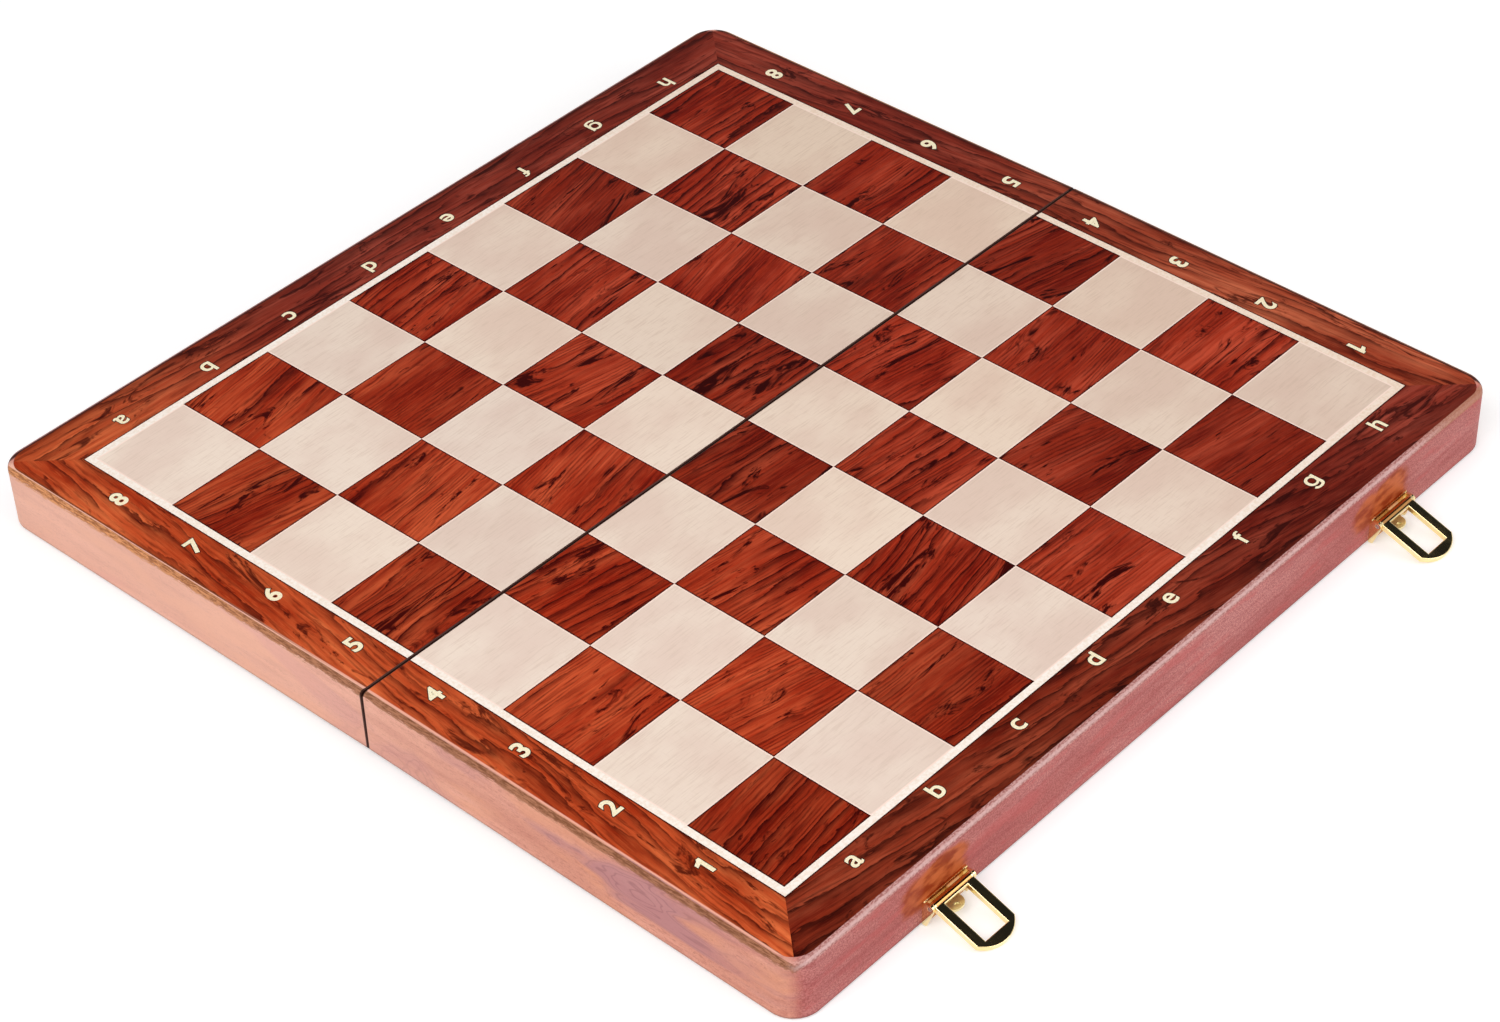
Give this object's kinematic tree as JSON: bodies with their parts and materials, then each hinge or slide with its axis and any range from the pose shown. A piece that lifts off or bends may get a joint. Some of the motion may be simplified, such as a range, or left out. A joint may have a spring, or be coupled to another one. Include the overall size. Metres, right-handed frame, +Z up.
{
  "type": "folding chess board",
  "caption": "Folding wooden chess board that shuts into a shallow box, with inlaid squares, a lettered border, brass butt hinges under the seam and brass loop latches.",
  "frame": {"origin": "middle of the seam between the two halves, at the height of the surface that the open board stands on", "axes": "+X along the seam towards the h-file, +Y across the seam from rank 1 to rank 8, so the latches point to -Y, +Z up"},
  "size_m": [0.3868, 0.4225, 0.0281],
  "materials": {
    "rail_wood": "gloss",
    "dark_veneer": "gloss",
    "light_veneer": "gloss",
    "stringing_wood": "gloss",
    "border_veneer": "gloss",
    "core_board": "matte",
    "felt": "matte",
    "flocked_foam": "matte",
    "brass": "polished",
    "screw_brass": "satin",
    "pin_steel": "satin"
  },
  "bodies": {
    "front_half": {"front_rail": "rail_wood", "front_left_rail": "rail_wood", "front_right_rail": "rail_wood", "front_seam_rail": "rail_wood", "front_core_panel": "core_board", "front_dark_squares": "dark_veneer", "front_light_squares": "light_veneer", "front_stringing": "stringing_wood", "front_border": "border_veneer", "front_left_border": "border_veneer", "front_right_border": "border_veneer", "front_lining": "felt", "front_tray": "flocked_foam", "front_hinge_leaf_left": "brass", "front_hinge_leaf_right": "brass", "front_hinge_screws": "screw_brass", "hinge_pin_left": "pin_steel", "hinge_pin_right": "pin_steel", "latch_base_left": "brass", "latch_base_right": "brass", "latch_pin_left": "pin_steel", "latch_pin_right": "pin_steel", "latch_screws": "screw_brass"},
    "back_half": {"back_rail": "rail_wood", "back_left_rail": "rail_wood", "back_right_rail": "rail_wood", "back_seam_rail": "rail_wood", "back_core_panel": "core_board", "back_dark_squares": "dark_veneer", "back_light_squares": "light_veneer", "back_stringing": "stringing_wood", "back_border": "border_veneer", "back_left_border": "border_veneer", "back_right_border": "border_veneer", "back_lining": "felt", "back_tray": "flocked_foam", "back_hinge_leaf_left": "brass", "back_hinge_leaf_right": "brass", "back_hinge_screws": "screw_brass", "strike_left": "brass", "strike_right": "brass", "strike_screws": "screw_brass"},
    "latch_loop_left": {"latch_loop_left": "brass"},
    "latch_loop_right": {"latch_loop_right": "brass"}
  },
  "joints": [
    {"name": "fold_hinge", "type": "hinge", "parent": "front_half", "child": "back_half", "pos_m": [0, 0, 0.0015], "axis": [-1, 0, 0], "range_deg": [-0.94, 179.05]},
    {"name": "latch_swing_left", "type": "hinge", "parent": "front_half", "child": "latch_loop_left", "pos_m": [-0.122, -0.19857, 0.00896], "axis": [1, 0, 0], "range_deg": [-108.6, 71]},
    {"name": "latch_swing_right", "type": "hinge", "parent": "front_half", "child": "latch_loop_right", "pos_m": [0.127, -0.19857, 0.00896], "axis": [1, 0, 0], "range_deg": [-108.6, 71]}
  ]
}
